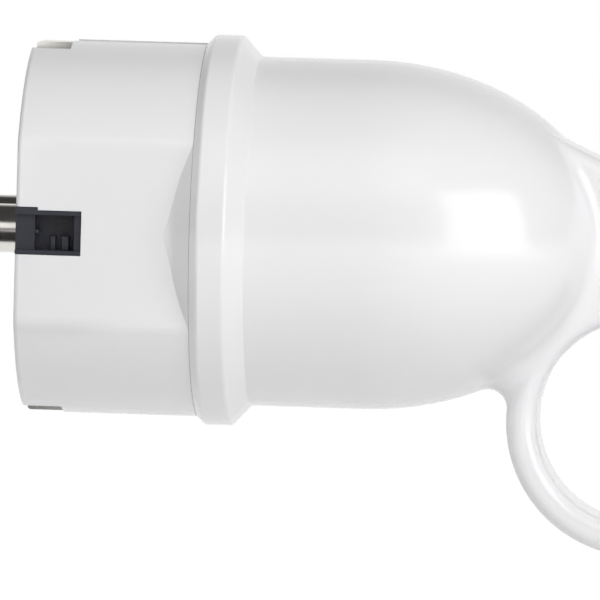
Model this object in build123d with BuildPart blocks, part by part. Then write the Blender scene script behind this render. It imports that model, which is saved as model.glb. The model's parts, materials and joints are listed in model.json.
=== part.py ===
"""Rewirable mains plug with side earth contacts and a finger ring on its rear shell.

The plug's axis is X. The pins point to -X, the finger ring hangs below the axis behind the
rear shell, and +Z is up. The origin is the centre of the front face. Sizes are millimetres.
"""

import os
from math import cos, radians, sin, tan

from build123d import *

os.makedirs("parts", exist_ok=True)

# Clearances
fit_gap = 0.05  # between pieces that seat on each other
running_gap = 0.05  # radial, round a screw that turns
slide_gap = 0.15  # radial, between the spigot and the collar's bore
parting_gap = 0.03  # between the front shell and the collar
screw_clearance = 0.2  # radial, round a screw in the hole that it passes through
channel_gap = 0.1  # all round each leg of the earth contact in the front shell
pillar_gap = 0.3  # between the earth contact and the pillars of the rear shell

# Engagement body, which goes into the socket
body_radius = 18.7
body_length = 17.3
flat_depth = 2.28  # from the body's radius in to each side flat
flat_edge_round = 2.5  # where each flat turns into the round of the body
flat_cove_radius = 1.5  # hollow where each flat turns up to the collar
flat_flare_angle = 47.0  # steepest slope of that turn, in degrees
face_thickness = 3.0
sleeve_wall = 2.5
flat_wall = 2.0
spigot_length = 3.2
spigot_wall = 1.6
spigot_step = 2.1  # from the body's radius in to the spigot's
rim_round = 0.5

# Guide notches in the side flats
notch_width = 4.4
notch_length = 6.5
notch_depth = 3.4
notch_step_length = 2.2  # the notch is wider on one side for this length
notch_step_width = 0.3
lug_lip_length = 1.9  # the carrier's lug fills the notch, with a hollow behind a lip
lug_lip_sink = 0.5
lug_pocket_sink = 2.4
lug_pocket_end = 5.8
lug_rear_sink = 0.3
lug_wall = 0.4

# Contact carrier, inside the front shell
carrier_wall = 2.2
carrier_spine = 5.2  # half the width of the block that the assembly screws pass
carrier_hollow_bottom = 4.6  # above the axis
carrier_hollow_depth = 9.0

# Side earth contacts
earth_width = 5.2
earth_setback = 0.3  # from the front face to each leg
earth_recess = 0.35  # from the body's radius in to the outer face of each leg
sheet_thickness = 0.6
earth_hook_reach = 3.0
earth_relief_length = 4.0  # the front shell is cut back beside each leg for this length
earth_relief_depth = 0.95
earth_plate_width = 9.0
earth_plate_inset = 4.3  # from each leg's outer face in to the end of the plate
bend_radius = 0.15  # inside each bend
bend_outer_radius = 0.35

# Contact pins and their terminals
pin_diameter = 4.8
pin_length = 19.0
pin_inset = 9.2  # from the body's radius in to each pin's axis, so that they are 19 apart
pin_tip_round = 2.2
pin_seat_diameter = 5.2  # thicker root that the face holds
pin_seat_stand = 0.3  # the root's part in front of the face
pin_flange_diameter = 7.0
pin_flange_thickness = 1.2
pin_stem_diameter = 3.6
pin_stem_seat = 2.6
terminal_size = 6.5
terminal_length = 11.0
terminal_sink = 3.0  # how far each terminal sits in the carrier
wire_slot_width = 3.6
wire_slot_height = 4.4
wire_slot_depth = 6.5
earth_slot_depth = 4.6
terminal_edge_round = 0.4
earth_terminal_length = 7.4
rivet_diameter = 2.5
rivet_head_diameter = 4.6
rivet_head_thickness = 0.7
rivet_head_round = 0.3
rivet_length = 1.6  # into the earth terminal

# Terminal screws
terminal_screw_diameter = 3.0
terminal_screw_head_diameter = 5.0
terminal_screw_head_height = 1.6
terminal_screw_stand_off = 0.8  # open gap under the head
terminal_screw_length = 3.2
screw_slot_width = 0.7
screw_slot_depth = 0.8
screw_head_round = 0.3
screw_tip_chamfer = 0.3

# Assembly screws, which pull the rear shell onto the front shell
assembly_screw_inset = 7.7  # from the body's radius in to each screw's axis
assembly_screw_diameter = 3.5
assembly_head_diameter = 6.2
assembly_head_height = 2.3
assembly_head_sink = 3.2
assembly_screw_length = 25.5
assembly_boss_diameter = 8.6
assembly_boss_depth = 6.2
washer_diameter = 7.4
washer_thickness = 0.8
nut_size = 5.5
nut_thickness = 2.5
nut_chamfer = 0.2
nut_pocket_reach = 3.3  # from the screw's axis out to the pocket's closed end
nut_grip = 4.45  # from the screw's tip to the nut's front
pillar_width = 8.4
pillar_reach = 3.4  # from the screw's axis in to the pillar's inner side
pillar_tip_room = 0.85  # past the screw's end
pillar_end_wall = 1.4

# Cord clamp on the carrier's tail
clamp_setback = 6.4  # from the terminals to the clamp
clamp_length = 7.5
clamp_width = 20.6
clamp_split = 0.5  # half the open gap between saddle and strap
clamp_saddle_depth = 7.3
clamp_strap_thickness = 2.5
clamp_screw_spacing = 15.2
clamp_screw_diameter = 2.5
clamp_screw_head_diameter = 4.8
clamp_screw_head_height = 1.9
clamp_screw_length = 8.6
clamp_screw_depth = 6.0  # of each hole in the saddle
clamp_arch_wall = 2.0
clamp_corner_round = 1.0
cord_radius = 3.8
tail_arm_width = 4.0
tail_arm_height = 3.8
tail_arm_inset = 5.0  # from the axis to each arm's inner side
tail_arm_top = 4.8  # below the axis

# Rear shell
shell_wall = 2.0
rear_step = 1.3  # from the body's radius in to the rear shell's
collar_overhang = 0.75  # from the body's radius out to the collar's
collar_front_chamfer = 0.75
collar_band = 2.65
collar_rear_slope = 1.85
collar_round = 0.5
dome_start = 33.7
dome_length = 23.8

# Finger ring, web and cable neck
handle_thickness = 10.0
handle_edge_round = 1.5
junction_round = 2.0  # where the dome turns into the web and the ring
saddle_round = 2.0  # where the web's outline turns into the ring's
ring_hole_radius = 10.2
ring_band = 3.1
ring_behind_dome = 3.9  # from the dome's tip to the ring's centre
ring_drop = 17.7
neck_radius = 7.0
neck_waist_radius = 4.8  # at the dome's tip, inside the web
neck_flare = 10.0  # from the waist to the neck's full size
neck_beyond_dome = 19.5
neck_end_round = 1.2
cord_clearance = 0.2  # radial, in the neck
cable_mouth_round = 1.0
web_start_inset = 9.5  # from the dome's tip back to the upper edge's start, inside the dome
web_start_share = 0.751  # height of that start, as a share of the dome's radius
web_middle_inset = 3.5
web_middle_share = 0.55
web_end_reach = 8.4  # from the dome's tip to the upper edge's end
web_end_share = 0.328
web_foot_reach = 15.0  # from the dome's tip to the foot, inside the neck
web_foot_height = 4.6
web_root_inset = 10.0  # from the dome's tip back to the lower edge's start, inside the dome
web_root_drop = 8.0
web_back = 7.0  # from the ring's centre to the web's rear edge, inside the ring

# Places that follow from the sizes
flat_distance = body_radius - flat_depth
earth_surface = body_radius - earth_recess
earth_relief_height = body_radius - earth_relief_depth
earth_plate_half_height = earth_surface - earth_plate_inset
pin_offset = body_radius - pin_inset
assembly_screw_offset = body_radius - assembly_screw_inset
rear_radius = body_radius - rear_step
collar_radius = body_radius + collar_overhang
spigot_radius = body_radius - spigot_step
sleeve_inner_radius = body_radius - sleeve_wall
inner_flat = flat_distance - flat_wall
washer_front = assembly_boss_depth + fit_gap
washer_rear = washer_front + washer_thickness
earth_front = earth_setback
carrier_front = face_thickness + fit_gap
carrier_rear = body_length - sheet_thickness - 2 * fit_gap
plate_front = carrier_rear + fit_gap
plate_rear = plate_front + sheet_thickness
terminal_front = carrier_rear - terminal_sink
terminal_rear = terminal_front + terminal_length
earth_terminal_front = plate_rear + fit_gap
clamp_front = terminal_rear + clamp_setback
clamp_rear = clamp_front + clamp_length
clamp_middle = clamp_front + clamp_length / 2
collar_front = body_length + parting_gap
collar_rear = collar_front + collar_front_chamfer + collar_band + collar_rear_slope
pillar_front = plate_rear + pillar_gap
pillar_hole_end = assembly_head_sink + assembly_screw_length + pillar_tip_room
pillar_rear = pillar_hole_end + pillar_end_wall
pillar_inner_height = assembly_screw_offset - pillar_reach
nut_pocket_end = assembly_screw_offset + nut_pocket_reach
nut_front = assembly_head_sink + assembly_screw_length - nut_grip
spigot_seat = body_length + spigot_length + slide_gap
dome_tip = dome_start + dome_length
ring_outer_radius = ring_hole_radius + ring_band
ring_x = dome_tip + ring_behind_dome
cable_bore_radius = cord_radius + cord_clearance
neck_end = dome_tip + neck_beyond_dome
cavity_radius = rear_radius - shell_wall
earth_channel_floor = earth_surface - sheet_thickness - fit_gap

across = Plane.YZ  # its normal is +X, its x is Y and its y is Z
side = Plane.XZ  # its x is X and its y is Z
pin_places = {"live": -pin_offset, "neutral": pin_offset}
screw_places = {"top": assembly_screw_offset, "bottom": -assembly_screw_offset}
clamp_screw_places = {"left": -clamp_screw_spacing / 2, "right": clamp_screw_spacing / 2}


def keep(part, name):
    """Names a finished piece and writes it."""
    part.label = name
    export_step(part, f"parts/{name}.step")


# Front shell: the white cup with the front face, the side flats and the spigot
with BuildPart() as front_shell:
    with BuildSketch(across) as profile:
        Circle(body_radius)
        Rectangle(2 * flat_distance, 2 * body_radius, mode=Mode.INTERSECT)
        fillet(profile.vertices(), flat_edge_round)
    extrude(amount=body_length)
    fillet(front_shell.edges().group_by(Axis.X)[0], rim_round)
    # The hollow and the flare that turn each flat up to the collar
    slope = radians(flat_flare_angle)
    cove_rise = flat_cove_radius * (1 - cos(slope))
    flare_front = body_length - (flat_depth - cove_rise) / tan(slope)
    cove_front = flare_front - flat_cove_radius * sin(slope)
    with BuildSketch(side):
        with BuildLine():
            cove = RadiusArc(
                (cove_front, flat_distance),
                (flare_front, flat_distance + cove_rise),
                -flat_cove_radius,
            )
            Polyline(
                cove @ 1, (body_length, body_radius), (body_length, 0), (cove_front, 0), cove @ 0
            )
        make_face()
    revolve(axis=Axis.X)
    with BuildSketch(across.offset(body_length)):
        Circle(spigot_radius)
    extrude(amount=spigot_length)
    # Inside
    with BuildSketch(across.offset(face_thickness)):
        Circle(sleeve_inner_radius)
        Rectangle(2 * inner_flat, 2 * body_radius, mode=Mode.INTERSECT)
    extrude(amount=body_length - face_thickness, mode=Mode.SUBTRACT)
    with BuildSketch(across.offset(body_length)):
        Circle(spigot_radius - spigot_wall)
        Rectangle(2 * inner_flat, 2 * body_radius, mode=Mode.INTERSECT)
    extrude(amount=spigot_length, mode=Mode.SUBTRACT)
    # Bosses behind the two screw holes
    with BuildSketch(across.offset(face_thickness)):
        with Locations(*[(0, z) for z in screw_places.values()]):
            Circle(assembly_boss_diameter / 2)
    extrude(amount=assembly_boss_depth - face_thickness)
    with Locations(*[across * Pos(0, z, 0) * Rot(180, 0, 0) for z in screw_places.values()]):
        CounterBoreHole(
            assembly_screw_diameter / 2 + screw_clearance,
            assembly_head_diameter / 2 + screw_clearance,
            assembly_head_sink,
            depth=assembly_boss_depth,
        )
    # Pin holes
    with BuildSketch(across):
        with Locations(*[(y, 0) for y in pin_places.values()]):
            Circle(pin_seat_diameter / 2 + fit_gap)
    extrude(amount=face_thickness, mode=Mode.SUBTRACT)
    # Guide notches, each wider on one side near the face
    for turn in (0, 180):
        with BuildSketch(across.rotated((turn, 0, 0))):
            with Locations((flat_distance, 0)):
                Rectangle(2 * notch_depth, notch_width)
        extrude(amount=notch_length, mode=Mode.SUBTRACT)
        with BuildSketch(across.rotated((turn, 0, 0))):
            with Locations((flat_distance, -(notch_width + notch_step_width) / 2)):
                Rectangle(2 * notch_depth, notch_step_width)
        extrude(amount=notch_step_length, mode=Mode.SUBTRACT)
    # Earth channels, the reliefs beside them and the slots through to the inside
    for sign in (1, -1):
        with BuildSketch(across):
            with Locations((0, sign * body_radius)):
                Rectangle(earth_width + 2 * channel_gap, 2 * (body_radius - earth_channel_floor))
        extrude(amount=body_length, mode=Mode.SUBTRACT)
        with BuildSketch(across):
            with Locations((0, sign * (earth_relief_height + 1))):
                Rectangle(body_radius, 2)
        extrude(amount=earth_relief_length, mode=Mode.SUBTRACT)
        with BuildSketch(across):
            with Locations((0, sign * (earth_surface - earth_hook_reach / 2))):
                Rectangle(earth_width + 2 * channel_gap, earth_hook_reach + 2 * channel_gap)
        extrude(amount=earth_front + sheet_thickness + channel_gap, mode=Mode.SUBTRACT)
        with BuildSketch(across.offset(carrier_rear)):
            with Locations((0, sign * body_radius)):
                Rectangle(
                    earth_width + 2 * channel_gap, 2 * (body_radius - earth_plate_half_height)
                )
        extrude(amount=body_length + spigot_length - carrier_rear, mode=Mode.SUBTRACT)
    # The corners that the contacts are bent round
    channel_ends = front_shell.edges().filter_by(Axis.Y).filter_by(
        lambda edge: abs(abs(edge.center().Z) - earth_channel_floor) < fit_gap / 2
    )
    fillet(channel_ends, bend_radius)
keep(front_shell.part, "front_shell")

# Contact carrier: the black insert with the key lugs, the tail and the cord clamp's saddle
with BuildPart() as contact_carrier:
    with BuildSketch(across.offset(carrier_front)):
        Circle(sleeve_inner_radius - fit_gap)
        Rectangle(2 * (inner_flat - fit_gap), 2 * body_radius, mode=Mode.INTERSECT)
    extrude(amount=carrier_rear - carrier_front)
    # Key lugs, which show in the notches of the front shell
    lug_depth = notch_depth - fit_gap
    lug_width = notch_width - 2 * fit_gap
    for turn in (0, 180):
        with BuildSketch(across.rotated((turn, 0, 0))):
            with Locations((flat_distance - lug_depth / 2, 0)):
                Rectangle(lug_depth, lug_width)
        extrude(amount=notch_length - fit_gap)
        with BuildSketch(across.rotated((turn, 0, 0))):
            with Locations((flat_distance - lug_depth / 2, -(lug_width + notch_step_width) / 2)):
                Rectangle(lug_depth, notch_step_width)
        extrude(amount=notch_step_length - fit_gap)
        with BuildSketch(Plane.XY.rotated((turn, 0, 0))):
            with BuildLine():
                Polyline(
                    (-1, flat_distance + 1),
                    (-1, flat_distance - lug_lip_sink),
                    (lug_lip_length, flat_distance - lug_lip_sink),
                    (lug_lip_length, flat_distance - lug_pocket_sink),
                    (lug_pocket_end, flat_distance - lug_pocket_sink),
                    (lug_pocket_end, flat_distance - lug_rear_sink),
                    (notch_length - fit_gap, flat_distance - lug_rear_sink),
                    (notch_length - fit_gap, flat_distance + 1),
                    close=True,
                )
            make_face()
        extrude(amount=lug_width / 2 - lug_wall, both=True, mode=Mode.SUBTRACT)
    # Room for the bosses of the front shell, the washers and the assembly screws
    with BuildSketch(across.offset(carrier_front)):
        with Locations(*[(0, z) for z in screw_places.values()]):
            Circle(assembly_boss_diameter / 2 + fit_gap)
    extrude(amount=washer_rear + fit_gap - carrier_front, mode=Mode.SUBTRACT)
    with BuildSketch(across.offset(washer_rear)):
        with Locations(*[(0, z) for z in screw_places.values()]):
            Circle(assembly_screw_diameter / 2 + running_gap)
    extrude(amount=carrier_rear - washer_rear, mode=Mode.SUBTRACT)
    # Seats of the pins and their terminals
    with BuildSketch(across.offset(carrier_front)):
        with Locations(*[(y, 0) for y in pin_places.values()]):
            Circle(pin_flange_diameter / 2 + fit_gap)
    extrude(amount=pin_flange_thickness + fit_gap, mode=Mode.SUBTRACT)
    with BuildSketch(across.offset(carrier_front)):
        with Locations(*[(y, 0) for y in pin_places.values()]):
            Circle(pin_stem_diameter / 2 + fit_gap)
    extrude(amount=terminal_front - carrier_front, mode=Mode.SUBTRACT)
    with BuildSketch(across.offset(terminal_front - fit_gap)):
        with Locations(*[(y, 0) for y in pin_places.values()]):
            Rectangle(terminal_size + 2 * fit_gap, terminal_size + 2 * fit_gap)
    extrude(amount=carrier_rear - terminal_front + fit_gap, mode=Mode.SUBTRACT)
    with BuildSketch(across.offset(carrier_rear)):
        Circle(rivet_head_diameter / 2 + fit_gap)
    extrude(amount=-rivet_head_thickness, mode=Mode.SUBTRACT)
    # Hollows between the towers
    with BuildSketch(across.offset(carrier_rear)):
        Circle(sleeve_inner_radius - carrier_wall)
        Rectangle(2 * (inner_flat - carrier_wall), 2 * body_radius, mode=Mode.INTERSECT)
        Rectangle(2 * carrier_spine, 2 * body_radius, mode=Mode.SUBTRACT)
        with Locations((0, -carrier_hollow_bottom / 2)):
            Rectangle(2 * body_radius, body_radius + carrier_hollow_bottom, mode=Mode.SUBTRACT)
    extrude(amount=-carrier_hollow_depth, mode=Mode.SUBTRACT)
    # Tail arms and the saddle that they carry
    with BuildSketch(across.offset(carrier_rear)):
        for sign in (1, -1):
            with Locations(
                (sign * (tail_arm_inset + tail_arm_width / 2), -tail_arm_top - tail_arm_height / 2)
            ):
                Rectangle(tail_arm_width, tail_arm_height)
    extrude(amount=clamp_rear - carrier_rear)
    with BuildSketch(across.offset(clamp_front)):
        with Locations((0, -(clamp_split + clamp_saddle_depth) / 2)):
            Rectangle(clamp_width, clamp_saddle_depth - clamp_split)
    extrude(amount=clamp_length)
    with BuildSketch(across.offset(clamp_front)):
        Circle(cord_radius)
    extrude(amount=clamp_length, mode=Mode.SUBTRACT)
    with BuildSketch(Plane.XY.offset(-clamp_split)):
        with Locations(*[(clamp_middle, y) for y in clamp_screw_places.values()]):
            Circle(clamp_screw_diameter / 2 + running_gap)
    extrude(amount=-(clamp_screw_depth + fit_gap), mode=Mode.SUBTRACT)
keep(contact_carrier.part, "contact_carrier")

# Contact pins, each with a root in the face, a flange behind it and a stem into its terminal
for name, y in pin_places.items():
    with BuildPart() as contact_pin:
        with BuildSketch(across.offset(-pin_length)):
            with Locations((y, 0)):
                Circle(pin_diameter / 2)
        extrude(amount=pin_length - pin_seat_stand)
        fillet(contact_pin.edges().group_by(Axis.X)[0], pin_tip_round)
        with BuildSketch(across.offset(-pin_seat_stand)):
            with Locations((y, 0)):
                Circle(pin_seat_diameter / 2)
        extrude(amount=pin_seat_stand + carrier_front)
        with BuildSketch(across.offset(carrier_front)):
            with Locations((y, 0)):
                Circle(pin_flange_diameter / 2)
        extrude(amount=pin_flange_thickness)
        with BuildSketch(across.offset(carrier_front)):
            with Locations((y, 0)):
                Circle(pin_stem_diameter / 2)
        extrude(amount=terminal_front + pin_stem_seat - carrier_front)
    keep(contact_pin.part, f"{name}_pin")


def slotted_screw(seat, diameter, length, head_diameter, head_height):
    """A slotted screw whose head stands on the seat, with its shank running back from it."""
    axis = Axis(seat.origin, seat.z_dir)
    with BuildPart() as screw:
        with BuildSketch(seat):
            Circle(head_diameter / 2)
        extrude(amount=head_height)
        fillet(screw.faces().sort_by(axis)[-1].edges(), screw_head_round)
        with BuildSketch(seat.offset(head_height)):
            Rectangle(2 * head_diameter, screw_slot_width)
        extrude(amount=-screw_slot_depth, mode=Mode.SUBTRACT)
        with BuildSketch(seat):
            Circle(diameter / 2)
        extrude(amount=-length)
        chamfer(screw.faces().sort_by(axis)[0].edges(), screw_tip_chamfer)
    return screw.part


# Terminals with their screws: front, length, depth of the wire slot, and the hole at the front
pin_terminal = (terminal_front, terminal_length, wire_slot_depth, pin_stem_diameter, pin_stem_seat)
earth_terminal = (
    earth_terminal_front, earth_terminal_length, earth_slot_depth, rivet_diameter, rivet_length
)
terminals = [(name, y, pin_terminal) for name, y in pin_places.items()]
terminals.append(("earth", 0, earth_terminal))
for name, y, (front, length, slot_depth, hole_diameter, hole_depth) in terminals:
    screw_x = front + length - slot_depth / 2
    with BuildPart() as terminal:
        with BuildSketch(across.offset(front)):
            with Locations((y, 0)):
                RectangleRounded(terminal_size, terminal_size, terminal_edge_round)
        extrude(amount=length)
        with BuildSketch(across.offset(front + length)):
            with Locations((y, 0)):
                RectangleRounded(wire_slot_width, wire_slot_height, terminal_edge_round)
        extrude(amount=-slot_depth, mode=Mode.SUBTRACT)
        with BuildSketch(across.offset(front)):
            with Locations((y, 0)):
                Circle(hole_diameter / 2 + fit_gap)
        extrude(amount=hole_depth + fit_gap, mode=Mode.SUBTRACT)
        with BuildSketch(Plane.XY):
            with Locations((screw_x, y)):
                Circle(terminal_screw_diameter / 2 + running_gap)
        extrude(amount=terminal_size, mode=Mode.SUBTRACT)
    keep(terminal.part, f"{name}_terminal")
    terminal_screw = slotted_screw(
        Plane((screw_x, y, terminal_size / 2 + terminal_screw_stand_off)),
        terminal_screw_diameter,
        terminal_screw_length,
        terminal_screw_head_diameter,
        terminal_screw_head_height,
    )
    keep(terminal_screw, f"{name}_terminal_screw")

# Earth contact: one bent sheet, from the hook on the top leg to the hook on the bottom leg
with BuildPart() as earth_contact:
    with BuildSketch(side):
        with BuildLine():
            Polyline(
                (earth_front, earth_surface - earth_hook_reach),
                (earth_front, earth_surface),
                (plate_rear, earth_surface),
                (plate_rear, 0),
                (plate_front, 0),
                (plate_front, earth_surface - sheet_thickness),
                (earth_front + sheet_thickness, earth_surface - sheet_thickness),
                (earth_front + sheet_thickness, earth_surface - earth_hook_reach),
                close=True,
            )
        make_face()
        mirror(about=Plane.XZ)
    extrude(amount=earth_width / 2, both=True)
    for height, radius in (
        (earth_surface, bend_outer_radius),
        (earth_surface - sheet_thickness, bend_radius),
    ):
        corners = earth_contact.edges().filter_by(Axis.Y)
        fillet(corners.filter_by(lambda edge: abs(abs(edge.center().Z) - height) < fit_gap), radius)
    with BuildSketch(across.offset(plate_front)):
        Rectangle(earth_plate_width, 2 * earth_plate_half_height)
    extrude(amount=sheet_thickness)
    with BuildSketch(across.offset(plate_front)):
        Circle(rivet_diameter / 2 + fit_gap)
        with Locations(*[(0, z) for z in screw_places.values()]):
            Circle(assembly_screw_diameter / 2 + screw_clearance)
    extrude(amount=sheet_thickness, mode=Mode.SUBTRACT)
keep(earth_contact.part, "earth_contact")

# Rivet that holds the earth terminal on its contact
with BuildPart() as earth_rivet:
    with BuildSketch(across.offset(plate_front - rivet_head_thickness)):
        Circle(rivet_head_diameter / 2)
    extrude(amount=rivet_head_thickness)
    fillet(earth_rivet.edges().group_by(Axis.X)[0], rivet_head_round)
    with BuildSketch(across.offset(plate_front)):
        Circle(rivet_diameter / 2)
    extrude(amount=earth_terminal_front + rivet_length - plate_front)
keep(earth_rivet.part, "earth_rivet")

# Assembly screws from the front face, each with a washer that keeps it in the plug and a nut
for name, z in screw_places.items():
    assembly_screw = slotted_screw(
        Plane((assembly_head_sink, 0, z), x_dir=(0, 1, 0), z_dir=(-1, 0, 0)),
        assembly_screw_diameter,
        assembly_screw_length,
        assembly_head_diameter,
        assembly_head_height,
    )
    keep(assembly_screw, f"{name}_assembly_screw")
    with BuildPart() as washer:
        with BuildSketch(across.offset(washer_front)):
            with Locations((0, z)):
                Circle(washer_diameter / 2)
                Circle(assembly_screw_diameter / 2 + running_gap, mode=Mode.SUBTRACT)
        extrude(amount=washer_thickness)
    keep(washer.part, f"{name}_retaining_washer")
    with BuildPart() as nut:
        with BuildSketch(across.offset(nut_front)):
            with Locations((0, z)):
                RegularPolygon(nut_size / 2, 6, major_radius=False, rotation=30)
                Circle(assembly_screw_diameter / 2 + running_gap, mode=Mode.SUBTRACT)
        extrude(amount=nut_thickness)
        chamfer(nut.edges().filter_by(GeomType.CIRCLE), nut_chamfer)
    keep(nut.part, f"{name}_nut")

# Clamp strap over the cord, with its two screws
with BuildPart() as clamp_strap:
    with BuildSketch(across.offset(clamp_front)):
        with Locations((0, clamp_split + clamp_strap_thickness / 2)):
            Rectangle(clamp_width, clamp_strap_thickness)
        Circle(cord_radius + clamp_arch_wall)
        with Locations((0, clamp_split - clamp_width / 2)):
            Rectangle(clamp_width, clamp_width, mode=Mode.SUBTRACT)
        Circle(cord_radius, mode=Mode.SUBTRACT)
    extrude(amount=clamp_length)
    fillet(clamp_strap.edges().filter_by(Axis.Z), clamp_corner_round)
    strap_top = clamp_split + clamp_strap_thickness
    with BuildSketch(Plane.XY.offset(strap_top)):
        with Locations(*[(clamp_middle, y) for y in clamp_screw_places.values()]):
            Circle(clamp_screw_head_diameter / 2 + screw_clearance)
    extrude(amount=clamp_arch_wall + cord_radius, mode=Mode.SUBTRACT)
    with BuildSketch(Plane.XY):
        with Locations(*[(clamp_middle, y) for y in clamp_screw_places.values()]):
            Circle(clamp_screw_diameter / 2 + screw_clearance)
    extrude(amount=strap_top, mode=Mode.SUBTRACT)
keep(clamp_strap.part, "clamp_strap")
for name, y in clamp_screw_places.items():
    clamp_screw = slotted_screw(
        Plane((clamp_middle, y, strap_top + fit_gap)),
        clamp_screw_diameter,
        clamp_screw_length,
        clamp_screw_head_diameter,
        clamp_screw_head_height,
    )
    keep(clamp_screw, f"{name}_clamp_screw")

# Handle: the web and the finger ring, a flat plate that the rear shell is moulded with
with BuildPart() as handle:
    with BuildSketch(side.offset(handle_thickness / 2)) as plan:
        with BuildLine():
            crest = ThreePointArc(
                (dome_tip - web_start_inset, web_start_share * rear_radius),
                (dome_tip - web_middle_inset, web_middle_share * rear_radius),
                (dome_tip + web_end_reach, web_end_share * rear_radius),
            )
            Polyline(
                crest @ 1,
                (dome_tip + web_foot_reach, web_foot_height),
                (ring_x + web_back, -ring_drop),
                (ring_x, -ring_drop),
                (dome_tip - web_root_inset, -web_root_drop),
                crest @ 0,
            )
        make_face()
        with Locations((ring_x, -ring_drop)):
            Circle(ring_outer_radius)
        meetings = plan.vertices().filter_by(
            lambda corner: abs(
                (Vector(*corner) - Vector(ring_x, -ring_drop)).length - ring_outer_radius
            ) < fit_gap
        )
        fillet(meetings, saddle_round)
        with Locations((ring_x, -ring_drop)):
            Circle(ring_hole_radius, mode=Mode.SUBTRACT)
    extrude(amount=-handle_thickness)
    rims = handle.faces().filter_by(Axis.Y).edges()
    inside_dome = dome_tip - web_root_inset / 2
    fillet(
        rims.filter_by(
            lambda rim: rim.geom_type == GeomType.CIRCLE or rim.center().X > inside_dome
        ),
        handle_edge_round,
    )

# Rear shell: collar, dome, web, finger ring and cable neck in one moulding
with BuildPart() as rear_shell:
    with BuildSketch(side) as outline:
        with BuildLine():
            dome = EllipticalCenterArc(
                (dome_start, 0), dome_length, rear_radius, start_angle=0, arc_size=90
            )
            Polyline(
                dome @ 1,
                (collar_rear, rear_radius),
                (collar_rear - collar_rear_slope, collar_radius),
                (collar_front + collar_front_chamfer, collar_radius),
                (collar_front, collar_radius - collar_front_chamfer),
                (collar_front, 0),
                dome @ 0,
            )
        make_face()
        fillet(outline.vertices().group_by(Axis.Y)[-1], collar_round)
    revolve(axis=Axis.X)
    add(handle.part)
    meeting_lines = rear_shell.edges().filter_by(GeomType.BSPLINE)
    fillet(meeting_lines, junction_round)
    with BuildSketch(side):
        with BuildLine():
            flare = Spline(
                (dome_tip, neck_waist_radius),
                (dome_tip + neck_flare, neck_radius),
                tangents=((1, 0), (1, 0)),
            )
            Polyline(flare @ 1, (neck_end, neck_radius), (neck_end, 0), (dome_tip, 0), flare @ 0)
        make_face()
    revolve(axis=Axis.X)
    fillet(rear_shell.edges().group_by(Axis.X)[-1], neck_end_round)
    # Inside: the collar's bore, the wiring space and the cable bore
    with BuildSketch(side):
        with BuildLine():
            hollow = EllipticalCenterArc(
                (dome_start, 0), dome_length - shell_wall, cavity_radius, start_angle=0, arc_size=90
            )
            Polyline(
                hollow @ 1,
                (spigot_seat, cavity_radius),
                (spigot_seat, spigot_radius + slide_gap),
                (collar_front, spigot_radius + slide_gap),
                (collar_front, 0),
                hollow @ 0,
            )
        make_face()
    revolve(axis=Axis.X, mode=Mode.SUBTRACT)
    with BuildSketch(across.offset(neck_end)):
        Circle(cable_bore_radius)
    extrude(amount=dome_start - neck_end, mode=Mode.SUBTRACT)
    mouth = rear_shell.edges().filter_by(GeomType.CIRCLE).group_by(Axis.X)[-1]
    fillet(mouth.sort_by(SortBy.RADIUS)[0], cable_mouth_round)
    # Pillars for the assembly screws, each with a pocket for its nut
    for sign in (1, -1):
        pillar_middle = sign * (pillar_inner_height + body_radius) / 2
        with BuildSketch(across.offset(pillar_front)):
            with Locations((0, pillar_middle)):
                Rectangle(pillar_width, body_radius - pillar_inner_height)
            Circle(spigot_radius - spigot_wall - slide_gap, mode=Mode.INTERSECT)
        extrude(amount=pillar_rear - pillar_front)
        with BuildSketch(across.offset(spigot_seat)):
            with Locations((0, pillar_middle)):
                Rectangle(pillar_width, body_radius - pillar_inner_height)
            Circle(cavity_radius + shell_wall / 2, mode=Mode.INTERSECT)
        extrude(amount=pillar_rear - spigot_seat)
        with BuildSketch(across.offset(pillar_front)):
            with Locations((0, sign * assembly_screw_offset)):
                Circle(assembly_screw_diameter / 2 + screw_clearance)
        extrude(amount=pillar_hole_end - pillar_front, mode=Mode.SUBTRACT)
        with BuildSketch(across.offset(nut_front - fit_gap)):
            with Locations((0, sign * nut_pocket_end / 2)):
                Rectangle(nut_size + 2 * fit_gap, nut_pocket_end)
        extrude(amount=nut_thickness + 2 * fit_gap, mode=Mode.SUBTRACT)
keep(rear_shell.part, "rear_shell")
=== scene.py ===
# A rewirable mains plug, lying level over a pale floor, seen from its side in studio light
import json
from math import cos, pi, radians, sin

import bpy
from mathutils import Matrix, Vector


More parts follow.
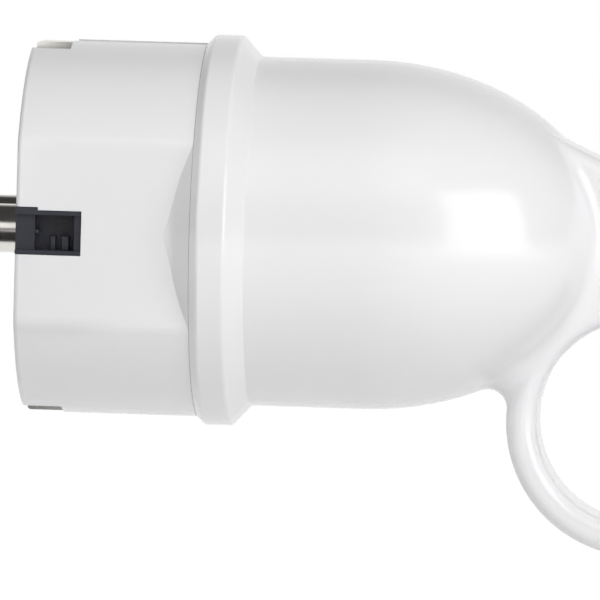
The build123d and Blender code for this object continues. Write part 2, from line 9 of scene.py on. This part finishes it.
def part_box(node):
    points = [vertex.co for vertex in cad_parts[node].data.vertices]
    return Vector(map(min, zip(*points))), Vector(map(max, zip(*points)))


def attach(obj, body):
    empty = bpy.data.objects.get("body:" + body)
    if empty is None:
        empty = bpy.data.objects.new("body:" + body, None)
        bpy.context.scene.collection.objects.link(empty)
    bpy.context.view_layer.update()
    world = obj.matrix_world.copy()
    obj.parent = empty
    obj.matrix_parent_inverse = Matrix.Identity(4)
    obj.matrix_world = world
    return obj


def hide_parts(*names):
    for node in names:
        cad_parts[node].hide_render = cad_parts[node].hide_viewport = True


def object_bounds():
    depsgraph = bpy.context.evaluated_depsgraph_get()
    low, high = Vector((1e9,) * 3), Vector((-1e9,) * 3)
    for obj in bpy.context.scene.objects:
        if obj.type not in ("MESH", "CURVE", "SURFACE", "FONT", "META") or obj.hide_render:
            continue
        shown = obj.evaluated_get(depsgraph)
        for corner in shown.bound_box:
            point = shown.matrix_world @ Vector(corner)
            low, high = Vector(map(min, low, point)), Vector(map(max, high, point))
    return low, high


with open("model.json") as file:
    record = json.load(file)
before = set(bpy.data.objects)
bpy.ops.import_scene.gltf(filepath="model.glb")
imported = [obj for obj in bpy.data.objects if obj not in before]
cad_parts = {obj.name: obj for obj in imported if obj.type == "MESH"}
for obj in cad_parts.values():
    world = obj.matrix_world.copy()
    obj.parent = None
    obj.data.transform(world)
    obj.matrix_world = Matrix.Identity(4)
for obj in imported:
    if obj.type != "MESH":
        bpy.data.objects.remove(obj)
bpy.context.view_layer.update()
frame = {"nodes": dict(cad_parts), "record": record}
nodes = frame["nodes"]
print("frame loaded:", len(nodes), "nodes")

# View, lengths in metres and turns in degrees
view = {
    "azimuth": 4.0,
    "elevation": 3.3,
    "roll": 1.6,
    "distance": 0.9,
    "middle": (0.02705, 0, -0.00675),
    "seenWidth": 0.05982,
    "sensor": 36,  # millimetres
    "nearest": 0.05,
}


def direction(azimuth, elevation):
    # from the plug towards a place round it: 0 is the side that the picture shows
    a = radians(azimuth)
    e = radians(elevation)
    return Vector((sin(a) * cos(e), -cos(a) * cos(e), sin(e)))


def placeCamera():
    away = direction(view["azimuth"], view["elevation"])
    camera = bpy.data.objects.new("camera", bpy.data.cameras.new("camera"))
    bpy.context.collection.objects.link(camera)
    roll = Matrix.Rotation(radians(view["roll"]), 3, "Z")
    turned = away.to_track_quat("Z", "Y") @ roll.to_quaternion()
    camera.rotation_euler = turned.to_euler()
    camera.location = Vector(view["middle"]) + away * view["distance"]
    camera.data.sensor_width = view["sensor"]
    camera.data.lens = view["sensor"] * view["distance"] / view["seenWidth"]
    camera.data.clip_start = view["nearest"]
    bpy.context.scene.camera = camera


placeCamera()
bpy.context.scene.view_settings.view_transform = "Standard"
print("camera placed")


# Materials
class Value:
    # a socket that Python's own sums work on
    def __init__(self, paint, socket):
        self.paint = paint
        self.socket = socket

    def maths(self, operation, first, second):
        return self.paint.add("ShaderNodeMath", {"operation": operation}, {0: first, 1: second})

    def __add__(self, other):
        return self.maths("ADD", self, other)

    def __sub__(self, other):
        return self.maths("SUBTRACT", self, other)

    def __rsub__(self, other):
        return self.maths("SUBTRACT", other, self)

    def __mul__(self, other):
        return self.maths("MULTIPLY", self, other)

    def orMore(self, other):
        return self.maths("MAXIMUM", self, other)

    __radd__ = __add__
    __rmul__ = __mul__


class Paint:
    # the nodes of one material, or of the world
    def __init__(self, owner, shader):
        owner.use_nodes = True
        self.owner = owner
        self.tree = owner.node_tree
        self.shader = self.tree.nodes[shader]

    def add(self, kind, settings, inputs, output=0):
        node = self.tree.nodes.new(kind)
        for setting, value in settings.items():
            setattr(node, setting, value)
        for socket, value in inputs.items():
            if isinstance(value, Value):
                self.tree.links.new(value.socket, node.inputs[socket])
            else:
                node.inputs[socket].default_value = value
        return Value(self, node.outputs[output])

    def place(self, stretch=(1, 1, 1)):
        place = self.add("ShaderNodeTexCoord", {}, {}, "Object")
        return self.add("ShaderNodeMapping", {}, {"Vector": place, "Scale": stretch})

    def noise(self, perMetre, stretch=(1, 1, 1), detail=2):
        return self.add("ShaderNodeTexNoise", {}, {
            "Vector": self.place(stretch), "Scale": perMetre, "Detail": detail,
        }, "Fac")

    def blend(self, share, first, second):
        return self.add("ShaderNodeMix", {"data_type": "RGBA"}, {0: share, 6: first, 7: second}, 2)

    def set(self, socket, value):
        self.tree.links.new(value.socket, self.shader.inputs[socket])

    def bump(self, height, depth):
        self.set("Normal", self.add("ShaderNodeBump", {}, {"Height": height, "Distance": depth}))


def tint(red, green, blue):
    return (red, green, blue, 1)


def newPaint(name, fixed):
    paint = Paint(bpy.data.materials.new(name), "Principled BSDF")
    for socket, value in fixed.items():
        paint.shader.inputs[socket].default_value = value
    return paint


def whitePlastic():
    # glossy moulded plastic, with the faint unevenness of a polished mould
    paint = newPaint("whitePlastic", {"IOR": 1.52, "Specular IOR Level": 0.7})
    cloud = paint.noise(90)
    grain = paint.noise(2600, detail=3)
    paint.set("Base Color", paint.blend(cloud, tint(0.84, 0.838, 0.85), tint(0.87, 0.866, 0.876)))
    paint.set("Roughness", 0.13 + cloud * 0.05 + grain * 0.05)
    paint.bump(grain * 0.3 + cloud * 0.7, 0.00001)
    return paint.owner


def blackPlastic():
    # satin black insert, with a fine spark-eroded grain
    paint = newPaint("blackPlastic", {"IOR": 1.5})
    cloud = paint.noise(300)
    grain = paint.noise(5000, detail=4)
    paint.set("Base Color", paint.blend(cloud, tint(0.026, 0.027, 0.038), tint(0.036, 0.038, 0.05)))
    paint.set("Roughness", 0.3 + grain * 0.15)
    paint.bump(grain, 0.00002)
    return paint.owner


def nickelPlate():
    # bright plating on drawn brass, with faint lines along the pins
    paint = newPaint("nickelPlate", {"Metallic": 1.0})
    lines = paint.noise(900, stretch=(0.04, 1, 1), detail=4)
    cloud = paint.noise(400)
    paint.set("Base Color", paint.blend(cloud, tint(0.7, 0.68, 0.64), tint(0.76, 0.745, 0.71)))
    paint.set("Roughness", 0.12 + lines * 0.16)
    paint.bump(lines, 0.000006)
    return paint.owner


def brass():
    # sawn and drilled brass, slightly dulled
    paint = newPaint("brass", {"Metallic": 1.0})
    lines = paint.noise(1400, stretch=(1, 0.06, 1), detail=4)
    cloud = paint.noise(350)
    paint.set("Base Color", paint.blend(cloud, tint(0.66, 0.47, 0.2), tint(0.78, 0.6, 0.32)))
    paint.set("Roughness", 0.26 + lines * 0.2)
    paint.bump(lines, 0.00001)
    return paint.owner


def zincSteel():
    # steel screws with bright zinc on them
    paint = newPaint("zincSteel", {"Metallic": 1.0})
    cloud = paint.noise(700, detail=4)
    grain = paint.noise(4000, detail=2)
    paint.set("Base Color", paint.blend(cloud, tint(0.56, 0.57, 0.58), tint(0.68, 0.68, 0.66)))
    paint.set("Roughness", 0.24 + cloud * 0.16)
    paint.bump(grain, 0.000006)
    return paint.owner


def fibre():
    # pressed red-brown board
    paint = newPaint("fibre", {})
    cloud = paint.noise(1200, detail=4)
    strands = paint.noise(2500, stretch=(1, 0.1, 1), detail=3)
    paint.set("Base Color", paint.blend(cloud, tint(0.24, 0.08, 0.05), tint(0.36, 0.14, 0.09)))
    paint.set("Roughness", 0.6 + strands * 0.2)
    paint.bump(strands, 0.00003)
    return paint.owner


finishes = {
    whitePlastic(): ["front_shell", "rear_shell"],
    blackPlastic(): ["contact_carrier", "clamp_strap"],
    nickelPlate(): ["live_pin", "neutral_pin", "earth_contact"],
    brass(): [
        "live_terminal", "neutral_terminal", "earth_terminal", "earth_rivet",
        "top_nut", "bottom_nut",
    ],
    zincSteel(): [name for name in nodes if name.endswith("_screw")],
    fibre(): ["top_retaining_washer", "bottom_retaining_washer"],
}
for finish, dressed in finishes.items():
    for name in dressed:
        for slot in nodes[name].material_slots:
            slot.material = finish
print("finishes given")


# Screws with real threads, in place of the plain ones
screwKinds = {
    "assembly": {
        "head": 0.0062, "headHeight": 0.0023, "length": 0.0255, "thread": 0.0035, "pitch": 0.0006,
        "threaded": 0.0135, "fit": ["top_assembly_screw", "bottom_assembly_screw"],
        "turned": (pi / 2, 0, -pi / 2),
    },
    "terminal": {
        "head": 0.005, "headHeight": 0.0016, "length": 0.0032, "thread": 0.003, "pitch": 0.0005,
        "threaded": 0.0027, "turned": (0, 0, 0),
        "fit": ["live_terminal_screw", "neutral_terminal_screw", "earth_terminal_screw"],
    },
    "clamp": {
        "head": 0.0048, "headHeight": 0.0019, "length": 0.0086, "thread": 0.0025, "pitch": 0.0008,
        "threaded": 0.0068, "fit": ["left_clamp_screw", "right_clamp_screw"],
        "turned": (0, 0, 0),
    },
}
screwShape = {
    "slotWidth": 0.0007,
    "slotDepth": 0.0008,
    "headRound": 0.0003,
    "tipChamfer": 0.0003,
    "ridgeSize": 0.52,  # of the pitch
    "coreDepth": 0.56,  # of the pitch
    "steps": 24,
    "neckSlack": 0.00002,
    "mergeWithin": 0.0000005,
    "smoothUpTo": 35,  # degrees
}


def startPiece():
    if bpy.context.object and bpy.context.object.mode == "EDIT":
        bpy.ops.object.mode_set(mode="OBJECT")
    bpy.ops.object.select_all(action="DESELECT")


def editFaces(piece, wanted):
    # goes to edit mode with only the faces picked that wanted says yes to
    bpy.ops.object.mode_set(mode="OBJECT")
    mesh = piece.data
    for part in (mesh.vertices, mesh.edges):
        for each in part:
            each.select = False
    for face in mesh.polygons:
        face.select = wanted(face)
    bpy.ops.object.mode_set(mode="EDIT")
    bpy.ops.mesh.select_mode(type="FACE")


def cut(piece, cutter):
    modifier = piece.modifiers.new("cut", "BOOLEAN")
    modifier.object = cutter
    modifier.solver = "EXACT"
    bpy.context.view_layer.objects.active = piece
    bpy.ops.object.modifier_apply(modifier="cut")
    bpy.data.objects.remove(cutter)


def joinPieces(pieces, name):
    startPiece()
    for piece in pieces:
        piece.select_set(True)
    bpy.context.view_layer.objects.active = pieces[0]
    bpy.ops.object.join()
    pieces[0].name = name
    return pieces[0]


def makeScrew(kind):
    # head up along Z, with its seat at the origin
    size = screwKinds[kind]
    startPiece()
    bpy.ops.mesh.primitive_cylinder_add(
        vertices=64, radius=size["head"] / 2, depth=size["headHeight"],
        location=(0, 0, size["headHeight"] / 2))
    bpy.ops.object.transform_apply(location=True)
    head = bpy.context.object
    editFaces(head, lambda face: face.normal.z > 0.9)
    bpy.ops.mesh.bevel(offset=screwShape["headRound"], segments=4, affect="EDGES")
    bpy.ops.object.mode_set(mode="OBJECT")
    startPiece()
    bpy.ops.mesh.primitive_cube_add(size=1, location=(0, 0, size["headHeight"]))
    slot = bpy.context.object
    slot.scale = (2 * size["head"], screwShape["slotWidth"], 2 * screwShape["slotDepth"])
    bpy.ops.object.transform_apply(location=True, scale=True)
    cut(head, slot)
    startPiece()
    core = size["thread"] / 2 - screwShape["coreDepth"] * size["pitch"]
    plain = size["length"] - size["threaded"]
    bpy.ops.mesh.primitive_cylinder_add(
        vertices=48, radius=core, depth=size["length"], location=(0, 0, -size["length"] / 2))
    bpy.ops.object.transform_apply(location=True)
    shank = bpy.context.object
    editFaces(shank, lambda face: face.normal.z < -0.9)
    bpy.ops.mesh.bevel(offset=screwShape["tipChamfer"], segments=1, affect="EDGES")
    bpy.ops.object.mode_set(mode="OBJECT")
    startPiece()
    bpy.ops.mesh.primitive_cylinder_add(
        vertices=48, radius=size["thread"] / 2 - screwShape["neckSlack"], depth=plain,
        location=(0, 0, -plain / 2))
    bpy.ops.object.transform_apply(location=True)
    neck = bpy.context.object
    editFaces(neck, lambda face: face.normal.z < -0.9)
    bpy.ops.mesh.bevel(offset=screwShape["tipChamfer"] / 2, segments=1, affect="EDGES")
    bpy.ops.object.mode_set(mode="OBJECT")
    startPiece()
    ridge = screwShape["ridgeSize"] * size["pitch"]
    bpy.ops.mesh.primitive_circle_add(
        vertices=3, radius=ridge, rotation=(pi / 2, pi / 2, 0),
        location=(size["thread"] / 2 - ridge, 0, ridge + screwShape["tipChamfer"] - size["length"]))
    bpy.ops.object.transform_apply(location=True, rotation=True)
    thread = bpy.context.object
    winding = thread.modifiers.new("winding", "SCREW")
    winding.axis = "Z"
    winding.screw_offset = size["pitch"]
    wound = size["threaded"] - 2 * ridge - screwShape["tipChamfer"]
    winding.iterations = int(wound / size["pitch"])
    winding.steps = screwShape["steps"]
    winding.render_steps = screwShape["steps"]
    bpy.ops.object.modifier_apply(modifier="winding")
    bpy.ops.object.mode_set(mode="EDIT")
    bpy.ops.mesh.select_mode(type="EDGE")
    bpy.ops.mesh.select_all(action="SELECT")
    bpy.ops.mesh.remove_doubles(threshold=screwShape["mergeWithin"])
    bpy.ops.mesh.select_all(action="DESELECT")
    bpy.ops.mesh.select_non_manifold()
    bpy.ops.mesh.fill_holes(sides=3)
    bpy.ops.mesh.select_all(action="SELECT")
    bpy.ops.mesh.normals_make_consistent(inside=False)
    bpy.ops.object.mode_set(mode="OBJECT")
    return joinPieces([head, shank, neck, thread], kind + "Screw")


def fitScrews(finish):
    for kind, size in screwKinds.items():
        model = makeScrew(kind)
        for name in size["fit"]:
            startPiece()
            screw = model.copy()
            screw.data = model.data.copy()
            screw.name = name + "_threaded"
            bpy.context.collection.objects.link(screw)
            low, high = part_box(name)
            seat = (Vector(low) + Vector(high)) / 2
            if size["turned"] == (0, 0, 0):
                seat.z = high[2] - size["headHeight"]
            else:
                seat.x = low[0] + size["headHeight"]
            screw.location = seat
            screw.rotation_euler = size["turned"]
            screw.select_set(True)
            bpy.context.view_layer.objects.active = screw
            bpy.ops.object.transform_apply(location=True, rotation=True)
            bpy.ops.object.shade_smooth_by_angle(angle=radians(screwShape["smoothUpTo"]))
            screw.data.materials.append(finish)
            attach(screw, nodeBodies[name])
            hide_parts(name)
        bpy.data.objects.remove(model)


nodeBodies = {
    node: body for body, group in frame["record"]["behaviour"]["bodies"].items() for node in group}
fitScrews(nodes["top_assembly_screw"].material_slots[0].material)
print("screws threaded")


# Ribs and a catch in the hollow of each key lug
lugRibs = {
    "floor": 0.01402,  # the hollow's bottom, from the plug's axis
    "sunk": 0.00005,  # how far each rib goes into that bottom
    "bottomEdge": -0.0018,
    "round": 0.00012,
    "smoothUpTo": 35,  # degrees
    "blocks": [  # where along the plug, how wide, how far up and how proud
        {"from": 0.00334, "width": 0.00054, "top": -0.00033, "height": 0.0010},
        {"from": 0.00448, "width": 0.00073, "top": -0.00033, "height": 0.0013},
        {"from": 0.0017, "width": 0.00055, "bottom": -0.00012, "top": 0.00028, "height": 0.0017},
    ],
}


def makeRibs(finish):
    blocks = []
    for block in lugRibs["blocks"]:
        startPiece()
        bottom = block.get("bottom", lugRibs["bottomEdge"])
        deep = block["height"] + lugRibs["sunk"]
        bpy.ops.mesh.primitive_cube_add(size=1, location=(
            block["from"] + block["width"] / 2,
            lugRibs["sunk"] - lugRibs["floor"] - deep / 2,
            (bottom + block["top"]) / 2))
        rib = bpy.context.object
        rib.scale = (block["width"], deep, block["top"] - bottom)
        bpy.ops.object.transform_apply(location=True, scale=True)
        editFaces(rib, lambda face: face.normal.y < -0.9)
        bpy.ops.mesh.bevel(offset=lugRibs["round"], segments=3, affect="EDGES")
        bpy.ops.object.mode_set(mode="OBJECT")
        blocks.append(rib)
    near = joinPieces(blocks, "near_lug_ribs")
    far = near.copy()
    far.data = near.data.copy()
    far.name = "far_lug_ribs"
    far.rotation_euler = (pi, 0, 0)
    bpy.context.collection.objects.link(far)
    for ribs in (near, far):
        startPiece()
        ribs.select_set(True)
        bpy.context.view_layer.objects.active = ribs
        bpy.ops.object.transform_apply(location=True, rotation=True, scale=True)
        bpy.ops.object.shade_smooth_by_angle(angle=radians(lugRibs["smoothUpTo"]))
        ribs.data.materials.append(finish)
        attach(ribs, "plug_body")


makeRibs(nodes["contact_carrier"].material_slots[0].material)
print("lug ribs made")


# Floor, lamps and world
studio = {
    "floorHalfWidth": 1.5,
    "floorColor": 0.9,
    "floorRoughness": 0.6,
    "floorBrightness": 1.12,
    "seenGlow": 0.85,  # share of the floor's own light in what the camera and gloss see of it
    "worldLevel": 0.32,  # at the horizon
    "overheadLevel": 0.25,
    "floorGlow": 0.11,  # share of the floor's own light in what the plug gets from it
    "roomLevel": 0.05,  # what gloss shows of the side that the camera stands on
    "roomEdges": (0.6, 0.95),  # of the direction's Y, from that level to full white
    "overheadFrom": 0.3,  # of the direction's Z
    "lampDistance": 0.5,
}
lamps = {
    "key": {"azimuth": 48, "elevation": 4, "width": 0.335, "height": 0.54, "power": 1.38},
    "fill": {"azimuth": 10, "elevation": 45, "width": 0.3, "height": 0.3, "power": 1.1},
}
cards = {  # which only gloss shows: middle, size, turns and glow
    "blackCard": {
        "at": (-0.0275, -0.085, -0.0308), "size": (0.065, 0.122), "turns": (0, 0, 0), "glow": 0.02,
    },
    "farCard": {
        "at": (-0.116, -0.8, -0.0306), "size": (0.188, 1.3), "turns": (0, 0, 0), "glow": 0.02,
    },
    "whiteCard": {
        "at": (-0.019, -0.055, 0.013), "size": (0.032, 0.022), "turns": (90, 0, 0), "glow": 1.5,
    },
    "floorCard": {
        "at": (0.284, -0.223, -0.0308), "size": (0.24, 0.32), "turns": (0, 0, 49), "glow": 2.4,
    },
}


def layFloor():
    bpy.ops.object.select_all(action="DESELECT")
    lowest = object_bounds()[0][2]
    bpy.ops.mesh.primitive_plane_add(size=2 * studio["floorHalfWidth"], location=(0, 0, lowest))
    floor = bpy.context.object
    floor.name = "floor"
    paint = newPaint("floor", {
        "Roughness": studio["floorRoughness"], "Base Color": tint(*[studio["floorColor"]] * 3)})
    rays = [paint.add("ShaderNodeLightPath", {}, {}, ray) for ray in (
        "Is Camera Ray", "Is Glossy Ray", "Is Transmission Ray")]
    seen = paint.add("ShaderNodeClamp", {}, {0: rays[0] + rays[1] + rays[2]})
    glow = paint.add("ShaderNodeEmission", {}, {"Strength": studio["floorBrightness"]})
    matt = Value(paint, paint.shader.outputs[0])
    share = studio["floorGlow"] + seen * (studio["seenGlow"] - studio["floorGlow"])
    mixed = paint.add("ShaderNodeMixShader", {}, {0: share, 1: matt, 2: glow})
    output = paint.tree.nodes["Material Output"]
    paint.tree.links.new(mixed.socket, output.inputs["Surface"])
    floor.data.materials.append(paint.owner)


def setCards():
    for name, size in cards.items():
        bpy.ops.object.select_all(action="DESELECT")
        bpy.ops.mesh.primitive_plane_add(
            size=1, location=size["at"], rotation=[radians(turn) for turn in size["turns"]])
        card = bpy.context.object
        card.name = name
        card.scale = (*size["size"], 1)
        card.data.materials.append(newPaint(name, {
            "Base Color": tint(0, 0, 0), "Specular IOR Level": 0,
            "Emission Color": tint(1, 1, 1), "Emission Strength": size["glow"]}).owner)
        card.visible_camera = False
        card.visible_diffuse = False
        card.visible_shadow = False


def lightWorld():
    world = bpy.data.worlds.new("studio")
    bpy.context.scene.world = world
    paint = Paint(world, "Background")
    camera, glossy, through = [paint.add("ShaderNodeLightPath", {}, {}, ray) for ray in (
        "Is Camera Ray", "Is Glossy Ray", "Is Transmission Ray")]
    facing = paint.add("ShaderNodeTexCoord", {}, {}, "Generated")
    along, up = [paint.add("ShaderNodeSeparateXYZ", {}, {"Vector": facing}, axis) for axis in "YZ"]
    behind = paint.add("ShaderNodeMapRange", {}, {
        "Value": along, "From Min": studio["roomEdges"][0], "From Max": studio["roomEdges"][1],
        "To Min": studio["roomLevel"], "To Max": 1,
    }, "Result")
    around = paint.add("ShaderNodeMapRange", {}, {
        "Value": up, "From Min": studio["overheadFrom"], "From Max": 1,
        "To Min": studio["worldLevel"], "To Max": studio["overheadLevel"],
    }, "Result")
    plain = (1 - glossy) * around
    paint.set("Strength", camera.orMore(through).orMore(glossy * behind).orMore(plain))
    paint.shader.inputs["Color"].default_value = (1, 1, 1, 1)


def hangLamps():
    for name, lamp in lamps.items():
        light = bpy.data.lights.new(name, "AREA")
        light.shape = "RECTANGLE"
        light.size = lamp["width"]
        light.size_y = lamp["height"]
        light.energy = lamp["power"]
        hung = bpy.data.objects.new(name, light)
        bpy.context.collection.objects.link(hung)
        away = direction(lamp["azimuth"], lamp["elevation"])
        hung.location = Vector(view["middle"]) + away * studio["lampDistance"]
        hung.rotation_euler = away.to_track_quat("Z", "Y").to_euler()
        hung.visible_glossy = name == "key"


layFloor()
setCards()
lightWorld()
hangLamps()
print("studio lit")
